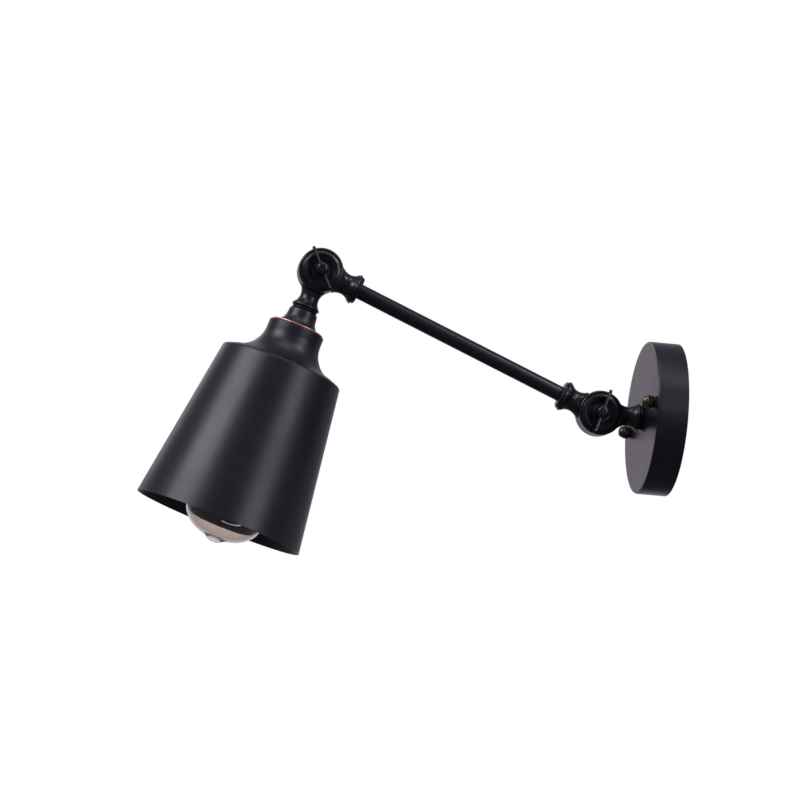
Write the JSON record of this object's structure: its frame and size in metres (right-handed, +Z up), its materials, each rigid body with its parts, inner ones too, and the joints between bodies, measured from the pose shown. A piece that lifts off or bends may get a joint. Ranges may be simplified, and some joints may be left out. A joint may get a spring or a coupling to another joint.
{
  "type": "swing arm wall lamp",
  "caption": "Wall lamp with a round canopy, a straight arm between two wing-screw knuckles, and a tapered black metal shade over a pear-shaped filament bulb.",
  "frame": {"origin": "centre of the canopy's back plane on the wall, between the two wall screws", "axes": "+Y into the wall, the lamp reaches towards -Y, +Z up, X along the hinge axes with the wing screws on the +X side"},
  "size_m": [0.127, 0.392, 0.2272],
  "materials": {
    "black_paint": "satin black paint",
    "dark_steel": "blackened steel",
    "zinc": "zinc plated",
    "ground_green": "green plated screw",
    "old_brass": "aged brass",
    "brass": "bright brass",
    "copper": "brushed copper",
    "phenolic": "moulded phenolic",
    "fibre": "vulcanised fibre",
    "amber_glass": "clear glass with a faint amber tint",
    "clear_glass": "clear glass",
    "filament_wire": "coiled tungsten wire"
  },
  "bodies": {
    "wall_mount": {"canopy": "black_paint", "mounting_bar": "zinc", "canopy_studs": "zinc", "stud_locknuts": "zinc", "ground_screw": "ground_green", "wall_nipple": "zinc", "wall_nipple_washer": "zinc", "wall_nipple_nut": "zinc", "wall_fitting": "black_paint", "base_wing_washer": "dark_steel"},
    "upper_thumb_nut": {"thumb_nut_upper": "old_brass"},
    "lower_thumb_nut": {"thumb_nut_lower": "old_brass"},
    "base_wing": {"base_wing_screw": "black_paint"},
    "arm": {"base_friction_ring": "fibre", "base_spring_washer": "dark_steel", "base_pivot_nut": "dark_steel", "arm_rear_fitting": "black_paint", "arm_tube": "black_paint", "arm_front_fitting": "black_paint", "head_wing_washer": "dark_steel"},
    "head_wing": {"head_wing_screw": "black_paint"},
    "head": {"head_friction_ring": "fibre", "head_spring_washer": "dark_steel", "head_pivot_nut": "dark_steel", "head_fitting": "black_paint", "flared_cap": "black_paint", "trim_ring": "copper", "shade": "black_paint", "head_nipple": "zinc", "shade_washer": "zinc", "shade_nut": "zinc", "socket_cap": "phenolic", "socket_body": "phenolic", "socket_shell": "brass", "socket_contact": "brass"},
    "bulb": {"bulb_base": "brass", "bulb_insulator": "phenolic", "bulb_contact": "zinc", "bulb_glass": "amber_glass", "bulb_mount": "clear_glass", "filament_supports": "zinc", "filament": "filament_wire"}
  },
  "joints": [
    {"name": "base_hinge", "type": "hinge", "parent": "wall_mount", "child": "arm", "pos_m": [0, -0.0551, 0], "axis": [1, 0, 0], "range_deg": [-60, 66]},
    {"name": "head_hinge", "type": "hinge", "parent": "arm", "child": "head", "pos_m": [0, -0.27172, 0.08664], "axis": [1, 0, 0], "range_deg": [-110, 15]},
    {"name": "base_wing_turn", "type": "hinge", "parent": "wall_mount", "child": "base_wing", "pos_m": [0, -0.0551, 0], "axis": [1, 0, 0], "range_deg": [0, 270]},
    {"name": "head_wing_turn", "type": "hinge", "parent": "arm", "child": "head_wing", "pos_m": [0, -0.27172, 0.08664], "axis": [1, 0, 0], "range_deg": [0, 270]},
    {"name": "upper_nut_turn", "type": "hinge", "parent": "wall_mount", "child": "upper_thumb_nut", "pos_m": [0.03931, -0.0268, 0.00793], "axis": [0, -1, 0], "range_deg": [0, 270]},
    {"name": "lower_nut_turn", "type": "hinge", "parent": "wall_mount", "child": "lower_thumb_nut", "pos_m": [-0.03931, -0.0268, -0.00793], "axis": [0, -1, 0], "range_deg": [0, 270]},
    {"name": "bulb_turn", "type": "hinge", "parent": "head", "child": "bulb", "pos_m": [0, -0.29848, 0.00071], "axis": [0, -0.2974, -0.9548], "range_deg": [0, 270]}
  ]
}
